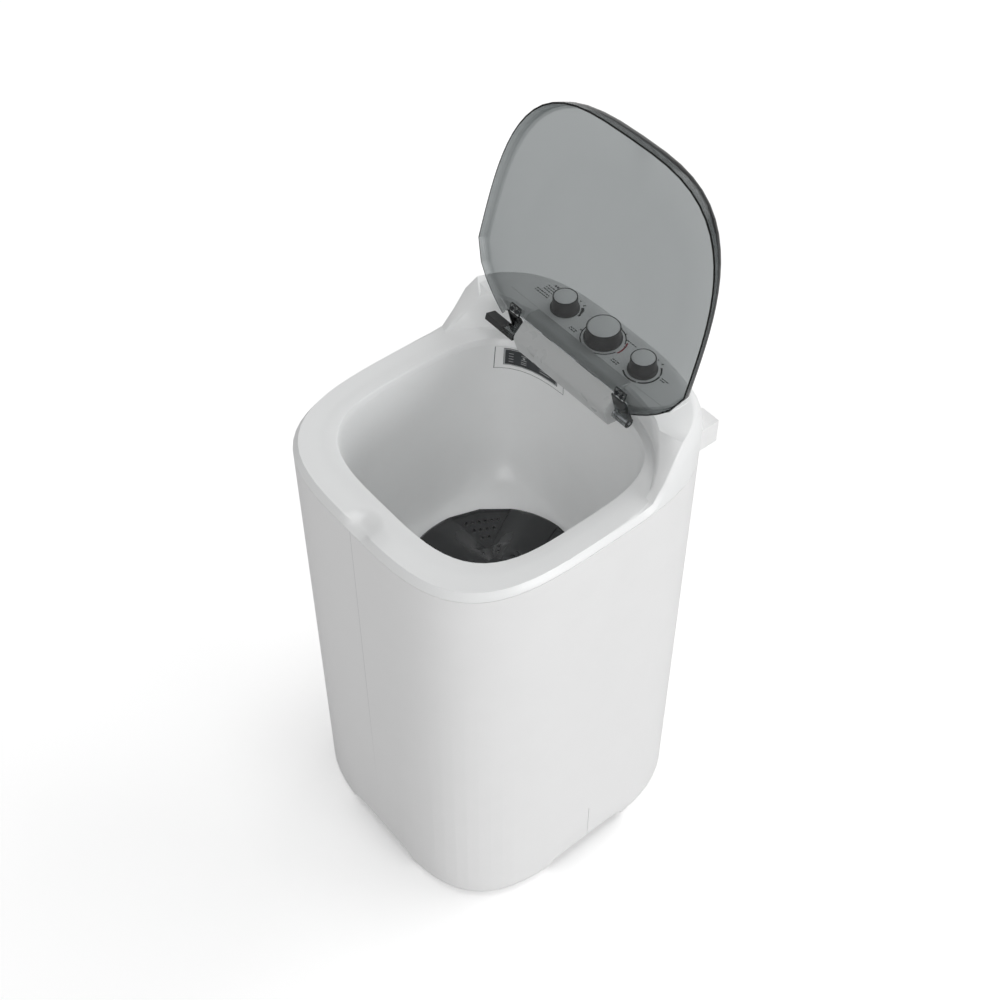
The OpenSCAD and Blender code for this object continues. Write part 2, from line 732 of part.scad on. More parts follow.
// Knobs
knob_gap = 0.5;
knob_z = overlay_z + knob_gap;
skirt_flare = 4;
skirt_foot = 3;
knob_wall = 2.4;
knob_hub_r = 7;
cap_inset = 1.6;
cap_t = 4;
cap_rise = 1.2;
function knob_r(i) = i == 0 ? big_knob_r : small_knob_r;
module knob(i) {
    r = knob_r(i);
    color("dimgray") translate([i * knob_pitch, knob_y, knob_z]) rotate_extrude() polygon([
        [spindle_r + run_fit, over * 2], [knob_hub_r, over * 2], [knob_hub_r, knob_h - cap_t - knob_wall],
        [r - knob_wall, knob_h - cap_t - knob_wall], [r + skirt_flare - knob_wall, 0], [r + skirt_flare, 0],
        [r + skirt_flare, skirt_foot], [r + over, skirt_foot * 2], [r, knob_h - over], [r - over, knob_h],
        [r - cap_inset, knob_h], [r - cap_inset, knob_h - cap_t], [spindle_r + run_fit, knob_h - cap_t]
    ]);
}
module cap(i) {
    r = knob_r(i) - cap_inset - seat_gap;
    color("lightgray") translate([i * knob_pitch, knob_y, knob_z + knob_h - cap_t]) rotate_extrude() polygon([
        [0, 0], [r, 0], [r, cap_t - over], [r - over, cap_t], [r * 0.6, cap_t + cap_rise * 0.7], [0, cap_t + cap_rise]
    ]);
}
module spindle(i) {
    low = console_z - deck_wall - spindle_in;
    color("silver") translate([i * knob_pitch, knob_y, low]) cylinder(r = spindle_r, h = knob_z + knob_h - cap_t - seat_gap - low);
}
module knob_left() { knob(-1); }
module knob_centre() { knob(0); }
module knob_right() { knob(1); }
module cap_left() { cap(-1); }
module cap_centre() { cap(0); }
module cap_right() { cap(1); }
module spindle_left() { spindle(-1); }
module spindle_centre() { spindle(0); }
module spindle_right() { spindle(1); }

// Bearing housing with its bushes, seal and bolts
housing_flange_r = 58;
housing_flange_t = 6;
housing_r = 28;
housing_z = pad_z - housing_h;
neck_top = tub_floor_z + 4;
housing_bore_r = 14;
seal_r = 15;
shaft_room = 2;
bush_h = 24;
seal_h = 9;
bush_z = pad_z - bush_h;
module tube(r, bore, h) {
    difference() {
        cylinder(r = r, h = h);
        translate([0, 0, -over]) cylinder(r = bore, h = h + over * 2);
    }
}
module bearing_housing() {
    color("gray") difference() {
        union() {
            translate([0, 0, pad_z - housing_flange_t]) cylinder(r = housing_flange_r, h = housing_flange_t);
            translate([0, 0, housing_z]) cylinder(r = housing_r, h = housing_h);
            translate([0, 0, pad_z - over]) cylinder(r = tub_hole_r - seat_gap, h = neck_top - pad_z + over);
            for (i = [0:4]) rotate([0, 0, 18 + i * 72])
                translate([0, -plate_t / 2, pad_z - housing_flange_t * 6]) cube([housing_flange_r * 0.8, plate_t, housing_flange_t * 5.5]);
        }
        translate([0, 0, housing_z - over]) cylinder(r = shaft_r + shaft_room, h = neck_top - housing_z + over * 2);
        translate([0, 0, housing_z - over]) cylinder(r = housing_bore_r, h = bush_h + over);
        translate([0, 0, bush_z]) cylinder(r = seal_r, h = neck_top - bush_z + over);
        at_housing_bolts(pad_z - housing_flange_t - over) cylinder(r = housing_bolt_r + screw_fit, h = housing_flange_t + over * 2);
    }
}
module upper_bush() {
    color("goldenrod") translate([0, 0, bush_z]) tube(seal_r - run_fit, shaft_r + run_fit, bush_h - over);
}
module lower_bush() {
    color("goldenrod") translate([0, 0, housing_z]) tube(housing_bore_r - run_fit, shaft_r + run_fit, bush_h);
}
module shaft_seal() {
    color("dimgray") translate([0, 0, neck_top - seal_h]) tube(seal_r - run_fit, shaft_r + run_fit, seal_h);
}
module housing_bolts() {
    color("silver") at_housing_bolts(pad_z - housing_flange_t)
        screw(housing_bolt_r, housing_flange_t + pad_h - over, housing_bolt_r * 2, housing_bolt_r * 1.4);
}

// Motor with its plate, bolts, capacitor and clip
motor_bolt_at = 47;
motor_bolt_r = 2.5;
motor_shaft_r = 6;
motor_neck_r = 20;
motor_cap_h = 16;
motor_groove = 2.5;
shaft_in = 26;
module at_motor(z) { translate([centre_distance, 0, z]) children(); }
module at_motor_bolts(z) {
    for (i = [0:3]) at_motor(z) rotate([0, 0, 45 + i * 90]) translate([motor_bolt_at, 0, 0]) children();
}
module motor_plate() {
    color("silver") difference() {
        translate([plate_x, -plate_half, plate_z]) cube([plate_len, plate_half * 2, plate_t]);
        at_plate_screws(plate_z - over) cylinder(r = tub_screw_r + screw_fit, h = plate_t + over * 2);
        at_motor_bolts(plate_z - over) cylinder(r = motor_bolt_r + screw_fit, h = plate_t + over * 2);
        at_motor(plate_z - over) cylinder(r = motor_neck_r, h = plate_t + over * 2);
    }
}
module motor() {
    waist = motor_r - motor_groove;
    color("gray") difference() {
        at_motor(plate_z - motor_h) rotate_extrude() polygon([
            [0, 0], [motor_neck_r, 0], [motor_neck_r, over * 2], [motor_r * 0.85, over * 2], [motor_r, over * 6],
            [motor_r, motor_cap_h], [waist, motor_cap_h], [waist, motor_h - motor_cap_h],
            [motor_r, motor_h - motor_cap_h], [motor_r, motor_h], [0, motor_h]
        ]);
        at_motor(plate_z - motor_h - over) cylinder(r = motor_shaft_r + run_fit, h = shaft_in + over * 2);
        at_motor_bolts(plate_z - motor_cap_h) cylinder(r = motor_bolt_r + screw_fit, h = motor_cap_h + over);
    }
}
module motor_bolts() {
    color("silver") at_motor_bolts(plate_z + plate_t) rotate([180, 0, 0])
        screw(motor_bolt_r, plate_t + motor_cap_h - over * 2, motor_bolt_r * 2, motor_bolt_r * 1.4);
}
capacitor_x = 88;
capacitor_y = -38;
clip_w = 12;
clip_t = 2.5;
module capacitor() {
    color("whitesmoke") translate([capacitor_x, capacitor_y, plate_z - capacitor_len]) cylinder(r = capacitor_r, h = capacitor_len);
}
module capacitor_clip() {
    r = capacitor_r + seat_gap;
    color("silver") translate([capacitor_x, capacitor_y, plate_z - capacitor_len / 2]) {
        tube(r + clip_t, r, clip_w);
        translate([-r - clip_t, -clip_w / 2, 0]) cube([clip_t, clip_w, capacitor_len / 2]);
    }
}

// Drain elbow from the tub floor to the back wall
elbow_r = 24;
elbow_flange_r = 25;
elbow_flange_t = 3;
pipe_r = drain_r - 1.5;
drain_bore_r = drain_r - drain_wall;
wall_at_drain = wall_y(0, drain_z);
spigot_y = wall_at_drain + grommet_t + seat_gap;
drain_top = tub_under_z - drain_z - elbow_r;
// Bent pipe of radius r, e longer at both ends
module bent_pipe(r, e) {
    quarter = elbow_r + drain_r;
    bend_y = drain_y + elbow_r;
    bend_z = drain_z + elbow_r;
    translate([0, drain_y, bend_z]) cylinder(r = r, h = drain_top + e);
    intersection() {
        translate([0, bend_y, bend_z]) rotate([0, 90, 0]) rotate_extrude() translate([elbow_r, 0]) circle(r = r);
        translate([-quarter, bend_y - quarter, bend_z - quarter]) cube([quarter * 2, quarter, quarter]);
    }
    translate([0, bend_y, drain_z]) rotate([-90, 0, 0]) cylinder(r = r, h = spigot_y - bend_y + e);
}
module drain_elbow() {
    color("gray") difference() {
        union() {
            bent_pipe(pipe_r, 0);
            translate([0, drain_y, tub_under_z - elbow_flange_t]) cylinder(r = elbow_flange_r, h = elbow_flange_t);
            translate([0, spigot_y, drain_z]) rotate([-90, 0, 0]) cylinder(r = drain_r, h = spigot_len);
        }
        bent_pipe(drain_bore_r, over);
        translate([0, spigot_y - over, drain_z]) rotate([-90, 0, 0]) cylinder(r = drain_bore_r, h = spigot_len + over * 2);
    }
}
module outlet_grommet() {
    inside = wall_at_drain - cabinet_wall - seat_gap - grommet_t;
    len = grommet_t * 2 + cabinet_wall + seat_gap * 2;
    hole_r = drain_r + grommet_t;
    color("dimgray") translate([0, inside, drain_z]) rotate([-90, 0, 0]) difference() {
        union() {
            cylinder(r = hole_r, h = len);
            cylinder(r = hole_r + grommet_lap, h = grommet_t);
            translate([0, 0, len - grommet_t]) cylinder(r = hole_r + grommet_lap, h = grommet_t);
        }
        translate([0, 0, -over]) cylinder(r = pipe_r + run_fit, h = len + over * 2);
    }
}

// Belt drive
pulley_h = 24;
pulley_drop = 10;
pulley_z = housing_z - pulley_drop - pulley_h;
groove_h = 12;
flange_rise = 7;
belt_h = 10;
rim_wall = 6;
pulley_hub_r = 18;
web_t = 6;
// Belt outline as two arcs joined by tangents, g outside the pulleys' seats
function belt_line(g) =
    let (
        big = drive_pulley_r + g,
        small = motor_pulley_r + g,
        turn = acos((big - small) / centre_distance)
    )
    concat(
        [for (i = [0:32]) let (t = mix(turn, 360 - turn, i / 32)) [big * cos(t), big * sin(t)]],
        [for (i = [0:12]) let (t = mix(-turn, turn, i / 12)) [centre_distance + small * cos(t), small * sin(t)]]
    );
module drive_belt() {
    color("dimgray") translate([0, 0, pulley_z + (pulley_h - belt_h) / 2]) linear_extrude(belt_h) difference() {
        polygon(belt_line(seat_gap * 2 + belt_t));
        polygon(belt_line(seat_gap * 2));
    }
}
module pulley_rim(r) {
    cut = (pulley_h - groove_h) / 2;
    rotate_extrude() polygon([
        [r - rim_wall, 0], [r + flange_rise, 0], [r + flange_rise, cut - over], [r, cut],
        [r, pulley_h - cut], [r + flange_rise, pulley_h - cut + over], [r + flange_rise, pulley_h],
        [r - rim_wall, pulley_h]
    ]);
}
module drive_pulley() {
    color("gray") translate([0, 0, pulley_z]) difference() {
        union() {
            pulley_rim(drive_pulley_r);
            cylinder(r = pulley_hub_r, h = pulley_h);
            translate([0, 0, (pulley_h - web_t) / 2]) cylinder(r = drive_pulley_r - rim_wall + over, h = web_t);
        }
        translate([0, 0, -over]) cylinder(r = shaft_r + run_fit, h = pulley_h + over * 2);
        for (i = [0:5]) rotate([0, 0, i * 60]) translate([(drive_pulley_r + pulley_hub_r) / 2 - over * 2, 0, 0])
            cylinder(r = drive_pulley_r * 0.2, h = pulley_h);
    }
}
nut_r = 13;
nut_h = 8;
shaft_end = 3;
module pulley_nut() {
    color("silver") translate([0, 0, pulley_z - nut_h]) difference() {
        cylinder(r = nut_r, h = nut_h, $fn = 6);
        translate([0, 0, -over]) cylinder(r = shaft_r + run_fit, h = nut_h + over * 2);
    }
}
module motor_pulley() {
    color("gray") at_motor(pulley_z) difference() {
        union() {
            pulley_rim(motor_pulley_r);
            cylinder(r = motor_pulley_r - rim_wall + over, h = pulley_h);
        }
        translate([0, 0, -over]) cylinder(r = motor_shaft_r + run_fit, h = pulley_h + over * 2);
    }
}
fan_r = 38;
fan_hub_r = 11;
fan_h = 12;
blade_t = 2;
fan_z = pulley_z - fan_h - 2;
module cooling_fan() {
    color("gray") at_motor(fan_z) difference() {
        union() {
            cylinder(r = fan_hub_r, h = fan_h);
            cylinder(r = fan_r * 0.6, h = blade_t + over);
            for (i = [0:7]) rotate([0, 0, i * 45]) translate([fan_hub_r - over, -blade_t / 2, over]) cube([fan_r - fan_hub_r, blade_t, fan_h - over * 2]);
        }
        translate([0, 0, -over]) cylinder(r = motor_shaft_r + run_fit, h = fan_h + over * 2);
    }
}
module motor_shaft() {
    low = fan_z - shaft_end;
    color("silver") at_motor(low) cylinder(r = motor_shaft_r, h = plate_z - motor_h + shaft_in - low);
}

// Pulsator on its shaft

pulsator_z = tub_floor_z + 5;
sectors = 5;
sector_turn = 360 / sectors;
sector_shift = -11;
recess_z = 5;
land_z = 8;
valley = 7;
recess_in = 0.42 * pulsator_r;
recess_out = 0.95 * pulsator_r;
recess_slope = 0.55;
recess_point = 0.39 * pulsator_r;
lip_rise = 2.2;
lip_w = 2.6;
hub_core_r = 17;
crest_drop = 34 / 46 * hub_rise;
pulsator_radii = [16, 28, 42, 58, 70, 74, 100, 126, 150, 163, 166, 170, 172];
radius_share = pulsator_r / 172;
// Shares of a vane's width and the shares of its height there
vane_form = [
    [0.06, 0.16], [0.18, 0.45], [0.32, 0.74], [0.45, 0.93], [0.568, 1], [0.7, 0.86], [0.84, 0.58], [0.95, 0.4]
];
function crest_z(r) = vane_h + crest_drop * pow(1 - r / pulsator_r, 1.5);
// Half angle of the recess at a radius
function recess_turn(r) = max(1.4, asin(recess_slope * max(0, r - recess_point) / r));
// Share of the full vane left near the rim
function rim_fade(r) = smooth((pulsator_r - r) / (pulsator_r * 0.05));
function floor_at(r) =
    r < recess_in - 3 ? crest_z(r) - valley :
    r > recess_out + 1 ? min(land_z, 3 + (pulsator_r - r) * 2.5) : recess_z;
// Directions and heights over one sector at a radius
function sector_points(r) =
    let (
        half = recess_turn(r),
        rest = sector_turn - half * 2,
        floor_z = floor_at(r),
        inside = r >= recess_in - 3 && r <= recess_out + 1,
        crest = r > recess_out + 1 ? mix(floor_z, vane_h, rim_fade(r)) : crest_z(r),
        lip = inside ? lip_rise : 0,
        lip_turn = lip_w / r * 57.3
    )
    concat(
        [[-half, floor_z], [0, floor_z], [half, floor_z], [half + lip_turn * 0.4, floor_z + lip]],
        [for (v = vane_form) [half + lip_turn * 0.5 + (rest - lip_turn * 2) * v[0], floor_z + lip + (crest - floor_z - lip) * v[1]]],
        [[half + rest - lip_turn, floor_z + lip * 2 + (crest - floor_z) * 0.25],
         [half + rest - lip_turn * 0.2, floor_z + lip + (crest - floor_z) * 0.2]]
    );
function pulsator_ring(r, drop) =
    [for (k = [0:sectors - 1], q = sector_points(r))
        let (t = 90 + sector_shift + k * sector_turn + q[0])
        [r * cos(t), r * sin(t), pulsator_z + max(0, q[1] - drop)]];
hole_rows = [[0.826, 6], [0.715, 4], [0.6, 2]];
hole_pitch = 0.07;
hub_holes = [[19.7, 0.26], [19.7, 0.34], [-15.8, 0.26], [-15.8, 0.34]];
insert_r = 11;
insert_h = 28;
insert_low = 3;
insert_wall = 4;
bolt_r = 3;
bolt_seat = 3;
bolt_head_r = 6;
bolt_head_h = 5;
hub_pocket_r = 9;
boss_top_z = pulsator_z + hub_rise;
insert_z = pulsator_z + insert_low;
bolt_z = insert_z + insert_h + bolt_seat;
module water_hole(r) {
    translate([0, r, pulsator_z - over]) cylinder(r = water_hole_r, h = hub_rise + over * 2, $fn = 16);
}
module pulsator() {
    radii = pulsator_radii * radius_share;
    last = len(radii) - 1;
    under = [for (i = [0:last]) pulsator_ring(radii[i], i == last ? hub_rise : pulsator_wall)];
    over_rings = [for (i = [last:-1:0]) pulsator_ring(radii[i], 0)];
    color("dimgray") difference() {
        union() {
            loft(concat(under, over_rings), closed = true);
            translate([0, 0, insert_z]) cylinder(r = hub_core_r, h = boss_top_z - insert_z);
        }
        for (k = [0:sectors - 1]) rotate([0, 0, sector_shift + k * sector_turn]) {
            for (row = hole_rows, i = [0:row[1] - 1])
                translate([(i - (row[1] - 1) / 2) * hole_pitch * pulsator_r, 0, 0]) water_hole(row[0] * pulsator_r);
            for (h = hub_holes) rotate([0, 0, h[0]]) water_hole(h[1] * pulsator_r);
        }
        translate([0, 0, insert_z - over]) cylinder(r = insert_r + seat_gap, h = insert_h + over);
        translate([0, 0, insert_z]) cylinder(r = bolt_r + screw_fit, h = insert_h + bolt_seat + over);
        translate([0, 0, bolt_z]) cylinder(r = hub_pocket_r, h = hub_rise);
    }
}
module pulsator_insert() {
    color("goldenrod") translate([0, 0, insert_z]) difference() {
        cylinder(r = insert_r, h = insert_h);
        translate([0, 0, -over]) cylinder(r = shaft_r + run_fit, h = insert_h - insert_wall + over);
        cylinder(r = bolt_r + screw_fit, h = insert_h + over);
    }
}
module pulsator_bolt() {
    color("silver") translate([0, 0, bolt_z]) rotate([180, 0, 0]) screw(bolt_r, bolt_head_r * 5, bolt_head_r, bolt_head_h);
}
hub_cap_h = 5;
module hub_cap() {
    color("dimgray") translate([0, 0, boss_top_z]) rotate([0, 0, 90 + sector_shift]) {
        cylinder(r = hub_core_r - over, h = hub_cap_h, $fn = 5);
        translate([0, 0, -hub_cap_h]) cylinder(r = hub_pocket_r - seat_gap, h = hub_cap_h + over);
    }
}
module drive_shaft() {
    low = pulley_z - nut_h - shaft_end;
    high = insert_z + insert_h - insert_wall - seat_gap;
    color("silver") difference() {
        translate([0, 0, low]) cylinder(r = shaft_r, h = high - low);
        translate([0, 0, bolt_z - bolt_head_r * 5 - over]) cylinder(r = bolt_r + screw_fit, h = bolt_head_r * 6);
    }
}

// Lid, drawn closed and turned open about the hinge axis

module opened() {
    translate([0, hinge_y, hinge_z]) rotate([-lid_open_angle, 0, 0]) translate([0, -hinge_y, -hinge_z]) children();
}
lid_z = ring_z + lid_gap;
lid_front_n = 3.3;
lid_rear_n = 1.62;
lid_cut_y = hinge_y - 47;
lid_cut_left = nose_left + barrel_w + lid_gap * 2;
lid_cut_right = nose_right + barrel_w + lid_gap * 2;
lid_angles = [for (t = [0:5:355]) spread(t)];
lid_oval = [lid_a, lid_front, lid_rear, lid_front_n, lid_rear_n, lid_centre_y];
// Height of the lid's top over its rim
function lid_rise(p) =
    lid_skirt_h + lid_crown * (1 - pow(min(1, abs(p[0]) / lid_a), 2))
    * smooth((lid_centre_y + lid_rear - p[1]) / (lid_front + lid_rear));
function lid_ring(g, share, dz) =
    [for (t = lid_angles) let (p = oval_point(grown(lid_oval, g), t)) [p[0], p[1], lid_z + lid_rise(p) * share + dz]];
function lid_disc(scale_by, dz) =
    [for (t = lid_angles)
        let (q = oval_point(lid_oval, t), p = [q[0] * scale_by, lid_centre_y + (q[1] - lid_centre_y) * scale_by])
        [p[0], p[1], lid_z + lid_rise(p) + dz]];
function lid_middle(w, dz) =
    let (z = lid_z + lid_rise([0, lid_centre_y]) + dz)
    [for (t = lid_angles) [w * cos(t), lid_centre_y + w * sin(t), z]];
lid_boss_y = hinge_y - 54;
lid_boss_apart = 6;
lid_boss_r = 5;
arm_screw_r = 1.6;
tongue_top = 14.3;
tongue_low = 10;
module at_lid_bosses(z) {
    for (x = [-nose_left - lid_gap - barrel_w / 2, nose_right + lid_gap + barrel_w / 2], side = [-1, 1])
        translate([x + side * lid_boss_apart, lid_boss_y, z]) children();
}
module lid() {
    w = lid_wall;
    rings = concat(
        [lid_ring(-1, 0, 0), lid_ring(0, 0, 1), lid_ring(-0.8, 0.45, 0), lid_ring(-2.2, 0.72, 0), lid_ring(-5, 0.92, 0)],
        [lid_ring(-10, 1, 0), lid_disc(0.7, 0), lid_disc(0.35, 0), lid_middle(12, 0)]
    );
    hollow = concat(
        [lid_ring(-w, 0, -over), lid_ring(-w - 0.8, 0.45, -w / 2), lid_ring(-w - 2.6, 0.72, -w * 0.7)],
        [lid_ring(-w - 5.6, 0.92, -w), lid_ring(-w - 10, 1, -w), lid_disc(0.7, -w), lid_disc(0.35, -w), lid_middle(12, -w)]
    );
    color("lightslategray", 0.6) opened() difference() {
        union() {
            difference() {
                loft(rings);
                loft(hollow);
            }
            at_lid_bosses(ring_z + tongue_top) cylinder(r = lid_boss_r, h = over * 3);
        }
        translate([-lid_cut_left, lid_cut_y, ring_z]) cube([lid_cut_left + lid_cut_right, lid_rear, lid_skirt_h * 2]);
        at_lid_bosses(ring_z + tongue_top - over) cylinder(r = arm_screw_r + screw_fit, h = over * 3);
    }
}

// Hinge arms of the lid: barrel on the pin, thin web and a short tongue under the panel
barrel_r = 9;
tongue_y = hinge_y - 62;
tongue_inset = 4;
web_rise = 6;
block_y = [hinge_y - 15, hinge_y - 3];
block_z = [6, 26];
block_out = 40;
module arm(from, to) {
    web = [
        [lid_cut_y + lid_gap, ring_z + tongue_low], [lid_cut_y + lid_gap, ring_z + tongue_top],
        [hinge_y - web_rise, hinge_z + web_rise], [hinge_y, hinge_z], [hinge_y - over * 2, hinge_z - over * 2]
    ];
    opened() difference() {
        union() {
            translate([0, hinge_y, hinge_z]) rod_x(barrel_r, from, to);
            along_x(from, to) polygon(web);
            translate([from + tongue_inset, tongue_y, ring_z + tongue_low])
                cube([to - from - tongue_inset * 2, lid_cut_y - tongue_y + over * 2, tongue_top - tongue_low]);
            children();
        }
        translate([0, hinge_y, hinge_z]) rod_x(pin_r + run_fit, from - over, to + over);
        at_lid_bosses(ring_z + tongue_low - over) cylinder(r = arm_screw_r + screw_fit, h = tongue_top + over);
    }
}
module hinge_arm_left() {
    to = -nose_left - lid_gap;
    from = to - barrel_w - block_out;
    color("dimgray") arm(to - barrel_w, to) {
        translate([from, block_y[0], ring_z + block_z[0]])
            cube([to - over - from, block_y[1] - block_y[0], block_z[1] - block_z[0]]);
        along_x(to - barrel_w, to - over) polygon([
            [block_y[0], ring_z + block_z[1] - over], [block_y[1], ring_z + block_z[1] - over], [hinge_y, hinge_z],
            [hinge_y - barrel_r * 0.8, hinge_z]
        ]);
    }
}
module hinge_arm_right() {
    from = nose_right + lid_gap;
    color("dimgray") arm(from, from + barrel_w);
}
module arm_screws() {
    color("silver") opened() at_lid_bosses(ring_z + tongue_low)
        screw(arm_screw_r, tongue_top - tongue_low + over * 1.6, small_head_r, small_head_t);
}

cabinet_front_left();
cabinet_front_right();
cabinet_rear_left();
cabinet_rear_right();
feet();
foot_blocks();
deck();
tub();
hinge_cover();
hinge_pins();
inner_panel();
label_plate();
control_panel();
rear_cover();
cover_screws();
tub_screws();
hose_hook();
cord_gland();
timer_left();
timer_centre();
timer_right();
bearing_housing();
upper_bush();
lower_bush();
shaft_seal();
housing_bolts();
motor_plate();
plate_screws();
motor();
motor_bolts();
capacitor();
capacitor_clip();
drain_elbow();
outlet_grommet();
drive_belt();
lid();
hinge_arm_left();
hinge_arm_right();
arm_screws();
knob_left();
knob_centre();
knob_right();
cap_left();
cap_centre();
cap_right();
spindle_left();
spindle_centre();
spindle_right();
pulsator();
pulsator_insert();
hub_cap();
pulsator_bolt();
drive_shaft();
drive_pulley();
pulley_nut();
motor_shaft();
motor_pulley();
cooling_fan();
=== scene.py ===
import math
import bpy
from mathutils import Matrix, Vector
from mathutils.bvhtree import BVHTree


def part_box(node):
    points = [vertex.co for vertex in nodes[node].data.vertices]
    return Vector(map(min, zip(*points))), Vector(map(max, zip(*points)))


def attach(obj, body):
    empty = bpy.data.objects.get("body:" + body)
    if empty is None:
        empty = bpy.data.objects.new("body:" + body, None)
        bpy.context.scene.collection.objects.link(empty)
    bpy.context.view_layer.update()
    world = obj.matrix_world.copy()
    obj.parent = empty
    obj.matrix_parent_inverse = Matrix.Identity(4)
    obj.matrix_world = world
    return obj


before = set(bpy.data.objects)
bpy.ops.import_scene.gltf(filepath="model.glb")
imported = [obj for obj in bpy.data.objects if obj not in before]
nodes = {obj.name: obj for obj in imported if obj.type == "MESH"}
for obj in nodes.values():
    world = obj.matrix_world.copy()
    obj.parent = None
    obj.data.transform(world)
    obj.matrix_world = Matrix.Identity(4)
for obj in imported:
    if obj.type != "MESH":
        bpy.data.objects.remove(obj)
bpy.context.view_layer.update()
MM = 0.001

# Colours and materials


def colour(code):
    """A web colour as the linear values that a shader works with."""
    parts = [int(code[i:i + 2], 16) / 255 for i in (0, 2, 4)]
    return [p / 12.92 if p <= 0.04045 else ((p + 0.055) / 1.055) ** 2.4 for p in parts] + [1.0]


def add(tree, kind, settings=None, links=None):
    """Adds a shader node, sets its properties or inputs and links its inputs to other nodes' outputs."""
    node = tree.nodes.new(kind)
    for key, value in (settings or {}).items():
        if hasattr(node, str(key)):
            setattr(node, key, value)
        else:
            node.inputs[key].default_value = value
    for key, source in (links or {}).items():
        tree.links.new(source, node.inputs[key])
    return node


def surface(name, code, rough, grain=None, mottle=0.0, mottle_mm=60, bump=0.0, **inputs):
    """A solid material: base colour, a soft wide mottle and a fine grain, both sized in millimetres."""
    mat = bpy.data.materials.new(name)
    mat.use_nodes = True
    tree = mat.node_tree
    shader = tree.nodes["Principled BSDF"]
    shader.inputs["Base Color"].default_value = colour(code)
    shader.inputs["Roughness"].default_value = rough
    for key, value in inputs.items():
        shader.inputs[key.replace("_", " ")].default_value = value
    place = add(tree, "ShaderNodeTexCoord")
    if mottle:
        wide = add(tree, "ShaderNodeTexNoise", {"Scale": 1000 / mottle_mm, "Detail": 3.0},
                   {"Vector": place.outputs["Object"]})
        level = add(tree, "ShaderNodeMapRange",
                    {"From Min": 0.3, "From Max": 0.7, "To Min": 1 - mottle, "To Max": 1 + mottle},
                    {"Value": wide.outputs["Fac"]})
        tint = add(tree, "ShaderNodeVectorMath", {"operation": "SCALE", 0: colour(code)[:3]})
        tree.links.new(level.outputs[0], tint.inputs["Scale"])
        tree.links.new(tint.outputs[0], shader.inputs["Base Color"])
        roughness = add(tree, "ShaderNodeMapRange",
                        {"From Min": 0.3, "From Max": 0.7, "To Min": rough * 0.88,
                         "To Max": min(1, rough * 1.12)},
                        {"Value": wide.outputs["Fac"]})
        tree.links.new(roughness.outputs[0], shader.inputs["Roughness"])
    if grain:
        fine = add(tree, "ShaderNodeTexNoise", {"Scale": 1000 / grain, "Detail": 2.0},
                   {"Vector": place.outputs["Object"]})
        relief = add(tree, "ShaderNodeBump", {"Strength": 1.0, "Distance": bump * MM},
                     {"Height": fine.outputs["Fac"]})
        tree.links.new(relief.outputs["Normal"], shader.inputs["Normal"])
    return mat


# White polypropylene with a fine spark texture: the eye reads an even satin white that greys in the shade
cabinet_white = surface("cabinet polypropylene", "EEEEEE", 0.42, grain=0.9, mottle=0.006, bump=0.02)
# The deck is the same white, smoother, with a soft sheen along the chamfer
deck_white = surface("deck polypropylene", "F0F1F1", 0.34, grain=1.6, mottle=0.006, bump=0.012)
# Tub moulding, faintly greyer and smoother than the cabinet
tub_grey = surface("tub polypropylene", "F2F3F3", 0.36, grain=1.5, mottle=0.01, mottle_mm=90, bump=0.012)
# Insert on the rear wall, the tub's own white
insert_grey = surface("insert polypropylene", "F0F1F1", 0.4, mottle=0.006)
# Dark plate printed with pale marks
plate_dark = surface("printed plate", "34373A", 0.35, mottle=0.02)
# Pearl grey plastic of the hinge cover, a broad soft highlight along its nose
cover_grey = surface("hinge cover plastic", "B9BBBB", 0.3, grain=1.2, mottle=0.01, bump=0.01)
# Hose clip in the cabinet's white
clip_white = surface("hose clip plastic", "EEEEEE", 0.4, mottle=0.008)
# Near black polypropylene with a wet looking gloss: highlights draw the vanes
pulsator_black = surface("pulsator polypropylene", "2C2D2E", 0.22, grain=2.5, mottle=0.03, mottle_mm=25,
                         bump=0.01)
# Charcoal skirts of the knobs, matt enough to stay quiet
knob_dark = surface("knob skirt plastic", "2D2B2B", 0.38, grain=0.8, mottle=0.02, mottle_mm=12, bump=0.01)
# Pale caps with a fine turned sheen
knob_pale = surface("knob cap plastic", "FBFCFC", 0.36, grain=0.5, mottle=0.015, mottle_mm=8, bump=0.006)
# Rubber, dull enough to read as soft
rubber = surface("black rubber", "1A1A1A", 0.62, grain=0.7, mottle=0.05, mottle_mm=8, bump=0.03)
# Zinc plate: grey with the short dull streaks of barrel plating
zinc = surface("zinc plated steel", "B9BBBE", 0.34, grain=0.6, mottle=0.03, mottle_mm=6, bump=0.01,
               Metallic=1.0)
# Thick enamel with a little orange peel
motor_grey = surface("motor enamel", "6D7072", 0.42, grain=0.9, mottle=0.03, mottle_mm=14, bump=0.03)
# Cast aluminium, grainy and dull
alloy = surface("cast aluminium", "A9ABAC", 0.46, grain=0.8, mottle=0.04, mottle_mm=9, bump=0.05,
                Metallic=0.9)
# Sintered bronze, warm and finely mottled
bronze = surface("sintered bronze", "A9793C", 0.42, grain=0.4, mottle=0.05, mottle_mm=5, bump=0.02,
                 Metallic=0.9)
# Plain grey duct and fan plastic
duct_grey = surface("duct polypropylene", "9A9C9D", 0.42, grain=1.0, mottle=0.02, bump=0.02)
# Moulded cases of the controls
timer_black = surface("control case plastic", "2A2B2D", 0.4, mottle=0.02)
# Printed overlay of the controls, brighter than the deck round it
overlay_white = surface("printed overlay", "F4F5F5", 0.3, mottle=0.004)
# Black oxide screws that stay quiet under the smoked lid
dark_steel = surface("blackened steel", "303234", 0.4, grain=0.6, mottle=0.03, mottle_mm=6, bump=0.01,
                     Metallic=0.8)
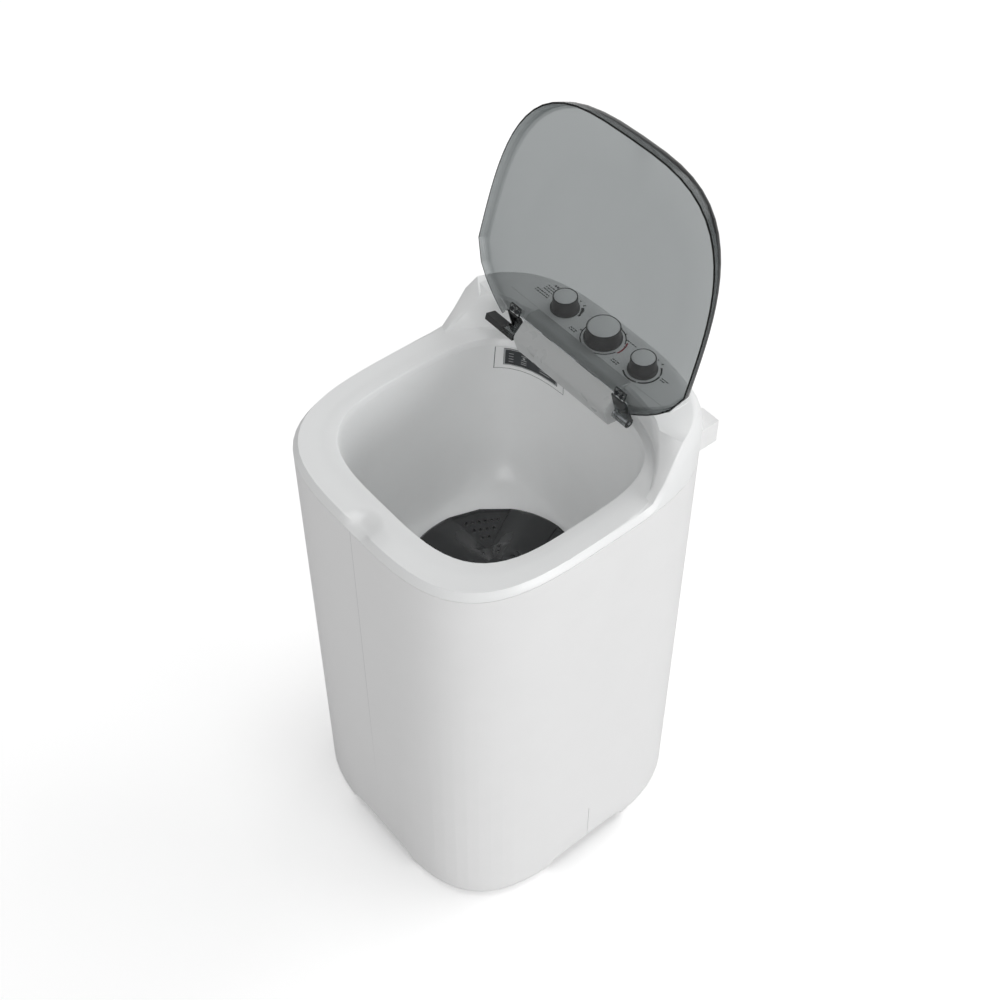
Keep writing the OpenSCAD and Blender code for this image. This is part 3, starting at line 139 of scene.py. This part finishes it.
# Prints, plain and even, and the grey of thin strips of painted shade in the gap round the insert
gap_shade_grey = surface("painted gap shade", "6E7173", 0.6)
print_black = surface("black print", "0E0F10", 0.5)
print_red = surface("red print", "9E2032", 0.5)
print_white = surface("white print", "A9ABAC", 0.5)


# Roughness of the smoked plastic, and the share of its tint that shadow rays meet
SMOKED_ROUGH = 0.012
SHADOW_SHARE = 0.03


def smoked(name, code, density):
    """Clear tinted plastic: it bends and filters light, darker the longer the way through it."""
    mat = bpy.data.materials.new(name)
    mat.use_nodes = True
    tree = mat.node_tree
    shader = tree.nodes["Principled BSDF"]
    out = tree.nodes["Material Output"]
    shader.inputs["Base Color"].default_value = (1, 1, 1, 1)
    shader.inputs["Roughness"].default_value = SMOKED_ROUGH
    shader.inputs["IOR"].default_value = 1.46
    shader.inputs["Specular IOR Level"].default_value = 0.2
    shader.inputs["Transmission Weight"].default_value = 1.0
    path = add(tree, "ShaderNodeLightPath")
    clear = add(tree, "ShaderNodeBsdfTransparent", {"Color": (1, 1, 1, 1)})
    mixed = add(tree, "ShaderNodeMixShader", {},
                {0: path.outputs["Is Shadow Ray"], 1: shader.outputs[0], 2: clear.outputs[0]})
    # Shadow rays are filtered less, so what stands behind the lid stays as readable as in daylight
    thick = add(tree, "ShaderNodeMapRange", {"To Min": density, "To Max": density * SHADOW_SHARE},
                {"Value": path.outputs["Is Shadow Ray"]})
    absorb = add(tree, "ShaderNodeVolumeAbsorption", {"Color": colour(code)}, {"Density": thick.outputs[0]})
    tree.links.new(mixed.outputs[0], out.inputs["Surface"])
    tree.links.new(absorb.outputs[0], out.inputs["Volume"])
    return mat


# Smoked polystyrene: a cool grey filter, nearly black where one looks along the wall
lid_smoke = smoked("smoked lid polystyrene", "566668", 440)
# The same plastic in the webs beside the hinge cover
arm_smoke = smoked("smoked hinge web", "566668", 70)


def black_beyond(mat, x):
    """Turns the part of a material left of x metres into near black plastic."""
    tree = mat.node_tree
    out = tree.nodes["Material Output"]
    place = add(tree, "ShaderNodeTexCoord")
    split = add(tree, "ShaderNodeSeparateXYZ", {}, {"Vector": place.outputs["Object"]})
    beyond = add(tree, "ShaderNodeMath", {"operation": "LESS_THAN", 1: x}, {0: split.outputs[0]})
    black = add(tree, "ShaderNodeBsdfPrincipled", {"Base Color": colour("191A1B"), "Roughness": 0.34})
    mixed = add(tree, "ShaderNodeMixShader", {},
                {0: beyond.outputs[0], 1: out.inputs["Surface"].links[0].from_socket, 2: black.outputs[0]})
    tree.links.new(mixed.outputs[0], out.inputs["Surface"])


# The left hinge piece ends in a black block outside the web
left_smoke = smoked("smoked hinge web with block", "566668", 110)
BLOCK_FROM = -0.152
black_beyond(left_smoke, BLOCK_FROM)


def seam(mat, half_mm, low, high):
    """Darkens a hairline up the middle of the front, fading in between two heights given in metres."""
    tree = mat.node_tree
    shader = tree.nodes["Principled BSDF"]
    place = add(tree, "ShaderNodeTexCoord")
    split = add(tree, "ShaderNodeSeparateXYZ", {}, {"Vector": place.outputs["Object"]})
    away = add(tree, "ShaderNodeMath", {"operation": "ABSOLUTE"}, {0: split.outputs[0]})
    line = add(tree, "ShaderNodeMapRange",
               {"From Min": half_mm * MM * 0.4, "From Max": half_mm * MM, "To Min": 1.0, "To Max": 0.0},
               {"Value": away.outputs[0]})
    # 1 in front of the middle of the cabinet and 0 behind it
    front = add(tree, "ShaderNodeMath", {"operation": "MULTIPLY", 1: -1000.0}, {0: split.outputs[1]})
    front = add(tree, "ShaderNodeClamp", {}, {"Value": front.outputs[0]})
    bottom = add(tree, "ShaderNodeMapRange",
                 {"From Min": low, "From Max": high, "To Min": 0.0, "To Max": 0.3},
                 {"Value": split.outputs[2]})
    a = add(tree, "ShaderNodeMath", {"operation": "MULTIPLY"}, {0: line.outputs[0], 1: front.outputs[0]})
    b = add(tree, "ShaderNodeMath", {"operation": "MULTIPLY"}, {0: a.outputs[0], 1: bottom.outputs[0]})
    old = shader.inputs["Base Color"].links[0].from_socket
    mixed = add(tree, "ShaderNodeMix", {"data_type": "RGBA"})
    tree.links.new(b.outputs[0], mixed.inputs[0])
    tree.links.new(old, mixed.inputs[6])
    mixed.inputs[7].default_value = colour("8A8C8E")
    tree.links.new(mixed.outputs[2], shader.inputs["Base Color"])


SEAM_HALF_MM = 1.1
SEAM_FADE = (0.16, 0.5)
seam(cabinet_white, SEAM_HALF_MM, *SEAM_FADE)

node_look = {
    "cabinet_front_left": cabinet_white, "cabinet_front_right": cabinet_white,
    "cabinet_rear_left": cabinet_white, "cabinet_rear_right": cabinet_white, "feet": cabinet_white,
    "foot_blocks": cabinet_white, "deck": deck_white, "tub": tub_grey, "hinge_cover": cover_grey,
    "hinge_pins": zinc, "inner_panel": insert_grey, "label_plate": plate_dark,
    "control_panel": overlay_white, "rear_cover": cabinet_white, "hose_hook": clip_white,
    "cord_gland": rubber, "bearing_housing": alloy, "upper_bush": bronze, "lower_bush": bronze,
    "shaft_seal": rubber, "motor_plate": zinc, "motor": motor_grey, "capacitor": clip_white,
    "capacitor_clip": zinc, "drain_elbow": duct_grey, "outlet_grommet": rubber, "drive_belt": rubber,
    "lid": lid_smoke, "hinge_arm_left": left_smoke, "hinge_arm_right": arm_smoke,
    "pulsator": pulsator_black, "pulsator_insert": bronze, "hub_cap": pulsator_black, "drive_pulley": alloy,
    "motor_pulley": alloy, "cooling_fan": duct_grey, "arm_screws": dark_steel,
}
for name, node in nodes.items():
    if name.startswith("timer"):
        look = timer_black
    elif name.startswith("knob"):
        look = knob_dark
    elif name.startswith("cap_"):
        look = knob_pale
    else:
        look = node_look.get(name, zinc)
    node.data.materials.clear()
    node.data.materials.append(look)

# Smooth shading over the small flats of the moulded shapes, with crisp edges kept

WELD_GAP = 0.02 * MM
# Angles in degrees from which an edge stays crisp
PLAIN_EDGE = 36
PULSATOR_EDGE = 28


def soften(obj, angle):
    mesh = obj.data
    held = mesh.attributes.get("custom_normal")
    if held:
        mesh.attributes.remove(held)
    mesh.polygons.foreach_set("use_smooth", [True] * len(mesh.polygons))
    weld = obj.modifiers.new("weld", "WELD")
    weld.merge_threshold = WELD_GAP
    split = obj.modifiers.new("edges", "EDGE_SPLIT")
    split.split_angle = math.radians(angle)
    split.use_edge_sharp = False


for name, node in nodes.items():
    soften(node, PULSATOR_EDGE if name == "pulsator" else PLAIN_EDGE)

# Thin printed pieces

# Degrees of turn in one straight stretch of a ring
ARC_STEP = 5

def flat(name, outlines, z, t, mat, body):
    """Solid plates of thickness t over outlines given in millimetres, all in one object."""
    verts, faces = [], []
    for line in outlines:
        n, base = len(line), len(verts)
        verts += [(x * MM, y * MM, (z + d) * MM) for d in (0, t) for x, y in line]
        faces.append([base + n + i for i in range(n)])
        faces.append([base + n - 1 - i for i in range(n)])
        faces += [[base + i, base + (i + 1) % n, base + n + (i + 1) % n, base + n + i] for i in range(n)]
    mesh = bpy.data.meshes.new(name)
    mesh.from_pydata(verts, [], faces)
    obj = bpy.data.objects.new(name, mesh)
    bpy.context.scene.collection.objects.link(obj)
    mesh.materials.append(mat)
    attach(obj, body)


def arc(cx, cy, r0, r1, a0, a1):
    """Band between two radii from a0 to a1 degrees."""
    steps = max(2, int(abs(a1 - a0) / ARC_STEP))
    turn = [math.radians(a0 + (a1 - a0) * i / steps) for i in range(steps + 1)]
    return [(cx + r1 * math.cos(t), cy + r1 * math.sin(t)) for t in turn] + \
           [(cx + r0 * math.cos(t), cy + r0 * math.sin(t)) for t in reversed(turn)]


def bar(cx, cy, w, h, turn=0):
    c, s = math.cos(math.radians(turn)), math.sin(math.radians(turn))
    return [(cx + c * x - s * y, cy + s * x + c * y) for x, y in
            ((-w / 2, -h / 2), (w / 2, -h / 2), (w / 2, h / 2), (-w / 2, h / 2))]


# Print: thickness and the gap under it, width of a stroke, gap between two dashes of small print
PRINT_T = 0.1
PRINT_GAP = 0.02
LINE = 2.2
DASH_GAP = 1.6
DASHES = (4.2, 2.8, 5.4, 3.4)
LONG_TICK = 4.4
SHORT_TICK = 2.6
# Inner and outer radii of the rings round the knobs
MID_RING = (37.2, 39.2)
RED_RING = (40.2, 43.2)
LEFT_RING = (27.5, 31.5)
RIGHT_RING = (30.0, 33.2)
panel_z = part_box("control_panel")[1].z / MM + PRINT_GAP


def middle(name, axis):
    """Middle of a piece's box along an axis, in millimetres."""
    low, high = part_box(name)
    return (low[axis] + high[axis]) / 2 / MM


left_x, mid_x, right_x = (middle("knob_" + side, 0) for side in ("left", "centre", "right"))
knob_y = middle("knob_centre", 1)


def rows(x, y, widths, pitch):
    """Lines of small print as short dashes, from their left end down."""
    out = []
    for k, w in enumerate(widths):
        at, n = 0.0, 0
        while at < w:
            size = DASHES[(n + k) % len(DASHES)]
            out.append(bar(x + at + size / 2, y - k * pitch, size, LINE))
            at, n = at + size + DASH_GAP, n + 1
    return out


def ticks(cx, r, count, first, last, long_every):
    """Scale of a dial: radial ticks, every so many of them long."""
    out = []
    for k in range(count):
        t = first + (last - first) * k / (count - 1)
        size = LONG_TICK if k % long_every == 0 else SHORT_TICK
        c, s = math.cos(math.radians(t)), math.sin(math.radians(t))
        out.append(bar(cx + c * (r + size / 2), knob_y + s * (r + size / 2), size, LINE, t))
    return out


black = ticks(mid_x, 39, 9, 200, 20, 4) + ticks(left_x, 31, 5, 150, 60, 2) + ticks(right_x, 34, 5, 150, 70, 2)
black += [arc(mid_x, knob_y, *MID_RING, 28, 352), arc(left_x, knob_y, *LEFT_RING, 8, 52)]
black += [arc(right_x, knob_y, *RIGHT_RING, a, b) for a, b in ((-128, -62), (-58, 18), (22, 56))]
red = [arc(mid_x, knob_y, *RED_RING, -8, 34)]
# Squares above the print beside the left knob, and the blocks of print: knob, place from it, widths, pitch
SQUARES = 7
black += [bar(left_x - 52 + 5.6 * i, knob_y + 25, 3.9, 4.0) for i in range(SQUARES)]
for near, dx, dy, widths, pitch in (
    (left_x, -62, 17, (32, 26, 24), 5.2),
    (left_x, -70, -1, (32, 30), 5.2),
    (left_x, 40, -22, (16, 12), 4.4),
    (mid_x, 46, -20, (16, 12), 4.4),
    (mid_x, 30, 28, (18,), 4.4),
    (right_x, 36, 10, (14, 11), 4.4),
):
    black += rows(near + dx, knob_y + dy, widths, pitch)
flat("print_black", black, panel_z, PRINT_T, print_black, "cabinet_body")
flat("print_red", red, panel_z, PRINT_T, print_red, "cabinet_body")

# Marks on the plate, and strips of painted shade along the insert's edges, laid on their curved faces

# Longest straight stretch of a strip on a curved face
WALL_STEP = 6


def on_wall(name, carrier, bars, mat, t=PRINT_T):
    """Thin solid strips on a wall that faces the front; each bar is left, right, low, high in millimetres."""
    node = nodes[carrier]
    tree = BVHTree.FromPolygons([node.matrix_world @ v.co for v in node.data.vertices],
                                [list(p.vertices) for p in node.data.polygons])

    def touch(x, z):
        hit = tree.ray_cast(Vector((x * MM, -0.1, z * MM)), Vector((0, 1, 0)))[0]
        return hit.y / MM

    verts, faces = [], []
    for left, right, low, high in bars:
        parts = max(1, int((right - left) / WALL_STEP))
        base = len(verts)
        for i in range(parts + 1):
            x = left + (right - left) * i / parts
            for z, d in ((low, 0), (high, 0), (high, t), (low, t)):
                verts.append((x * MM, (touch(x, z) - PRINT_GAP - d) * MM, z * MM))
        for i in range(parts):
            a, b = base + i * 4, base + i * 4 + 4
            faces += [[a + k, a + (k + 1) % 4, b + (k + 1) % 4, b + k] for k in range(4)]
        end = base + parts * 4
        faces += [[base + 3, base + 2, base + 1, base], [end, end + 1, end + 2, end + 3]]
    mesh = bpy.data.meshes.new(name)
    mesh.from_pydata(verts, [], faces)
    obj = bpy.data.objects.new(name, mesh)
    bpy.context.scene.collection.objects.link(obj)
    mesh.materials.append(mat)
    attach(obj, "cabinet_body")


def edges(carrier, w, inset):
    """Four bars just inside the outline of a wall piece."""
    low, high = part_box(carrier)
    x0, x1, z0, z1 = low.x / MM + inset, high.x / MM - inset, low.z / MM + inset, high.z / MM - inset
    return [
        (x0, x0 + w, z0, z1),
        (x1 - w, x1, z0, z1),
        (x0 + w, x1 - w, z0, z0 + w),
        (x0 + w, x1 - w, z1 - w, z1),
    ]


plate_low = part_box("label_plate")[0]
px, pz = plate_low.x / MM, plate_low.z / MM
marks = edges("label_plate", 1.8, 0.4)
marks += [(px + 7, px + 14, pz + h, pz + h + 1.2) for h in (8, 14, 20, 26)]
marks += [(px + 26, px + 36, pz + h, pz + h + 1.4) for h in (8, 12, 17, 26)]
marks.append((px + 29, px + 33, pz + 20, pz + 24))
marks += [(px + 62, px + 84 - 3 * k, pz + 8 + 5 * k, pz + 9.4 + 5 * k) for k in range(4)]
on_wall("plate_marks", "label_plate", marks, print_white)
# Painted shade: grey strips stand for the shaded gap along the insert's left, right and lower edges
on_wall("insert_gap_shade", "inner_panel", edges("inner_panel", 0.9, 0.3)[:3], gap_shade_grey)

# Camera at the photograph's place

cam_data = bpy.data.cameras.new("camera")
cam = bpy.data.objects.new("camera", cam_data)
bpy.context.scene.collection.objects.link(cam)
place = Vector((1.4623, -1.1976, 2.9156))
right = Vector((0.6365, 0.7713, 0.0)).normalized()
look = Vector((-0.5111, 0.4217, -0.7489)).normalized()
up = right.cross(look).normalized()
cam.matrix_world = Matrix((
    (right.x, up.x, -look.x, place.x),
    (right.y, up.y, -look.y, place.y),
    (right.z, up.z, -look.z, place.z),
    (0, 0, 0, 1)))
cam_data.lens = 60.35
cam_data.sensor_width = 36
cam_data.clip_end = 60
bpy.context.scene.camera = cam

# Floor, light and surroundings

# The floor's white as it is seen and as it throws light, the share of it that is its own, and its half width
FLOOR_SEEN = 1.36
FLOOR_THROWS = 0.68
FLOOR_GLOW = 0.3
FLOOR_REACH = 14
WORLD_LIGHT = 0.35
corners = [(x * FLOOR_REACH, y * FLOOR_REACH, 0) for x, y in ((-1, -1), (1, -1), (1, 1), (-1, 1))]
floor_mesh = bpy.data.meshes.new("floor")
floor_mesh.from_pydata(corners, [], [(0, 1, 2, 3)])
floor = bpy.data.objects.new("floor", floor_mesh)
bpy.context.scene.collection.objects.link(floor)
floor_mat = bpy.data.materials.new("studio floor")
floor_mat.use_nodes = True
ft = floor_mat.node_tree
ft.nodes.remove(ft.nodes["Principled BSDF"])
rays = add(ft, "ShaderNodeLightPath")
direct = add(ft, "ShaderNodeMath", {"operation": "MAXIMUM"},
             {0: rays.outputs["Is Camera Ray"], 1: rays.outputs["Is Transmission Ray"]})
seen = add(ft, "ShaderNodeMapRange", {"To Min": FLOOR_THROWS, "To Max": FLOOR_SEEN},
           {"Value": direct.outputs[0]})
tone = add(ft, "ShaderNodeCombineXYZ", {}, {0: seen.outputs[0], 1: seen.outputs[0], 2: seen.outputs[0]})
diffuse = add(ft, "ShaderNodeBsdfDiffuse", {}, {"Color": tone.outputs[0]})
# A part of the sheet's white is its own when seen directly, so the shadow on it stays pale
glow = add(ft, "ShaderNodeEmission", {"Color": (1, 1, 1, 1)})
share = add(ft, "ShaderNodeMath", {"operation": "MULTIPLY", 1: FLOOR_GLOW}, {0: direct.outputs[0]})
sheet = add(ft, "ShaderNodeMixShader", {}, {0: share.outputs[0], 1: diffuse.outputs[0], 2: glow.outputs[0]})
ft.links.new(sheet.outputs[0], ft.nodes["Material Output"].inputs["Surface"])
floor_mesh.materials.append(floor_mat)


def sun(name, turn, height, angle, power, shadow=True):
    """Broad parallel light: degrees round the part from +X, degrees above the floor, softness in degrees."""
    data = bpy.data.lights.new(name, "SUN")
    data.angle = math.radians(angle)
    data.energy = power
    data.use_shadow = shadow
    obj = bpy.data.objects.new(name, data)
    bpy.context.scene.collection.objects.link(obj)
    t, h = math.radians(turn), math.radians(height)
    back = Vector((math.cos(t) * math.cos(h), math.sin(t) * math.cos(h), math.sin(h)))
    obj.rotation_euler = back.to_track_quat("Z", "Y").to_euler()


sun("key", 62, 34, 44, 0.64)
sun("rear", 95, 30, 50, 0.48)
sun("side", 12, 5, 24, 0.98)
sun("top", 0, 88, 30, 0.72)
# Open light from below on the viewer's side, without a shadow, to light the inside of the tub evenly
sun("open", -50, -12, 20, 0.66, shadow=False)
world = bpy.data.worlds.new("world")
world.use_nodes = True
bpy.context.scene.world = world
air = world.node_tree
air.nodes["Background"].inputs["Color"].default_value = (1, 1, 1, 1)
# The surroundings look white where they are seen, and light the part at their own lower level
sight = add(air, "ShaderNodeLightPath")
seen_air = add(air, "ShaderNodeMath", {"operation": "MAXIMUM"},
               {0: sight.outputs["Is Camera Ray"], 1: sight.outputs["Is Transmission Ray"]})
level = add(air, "ShaderNodeMapRange", {"To Min": WORLD_LIGHT, "To Max": 1.0}, {"Value": seen_air.outputs[0]})
air.links.new(level.outputs[0], air.nodes["Background"].inputs["Strength"])
bpy.context.scene.view_settings.view_transform = "Standard"
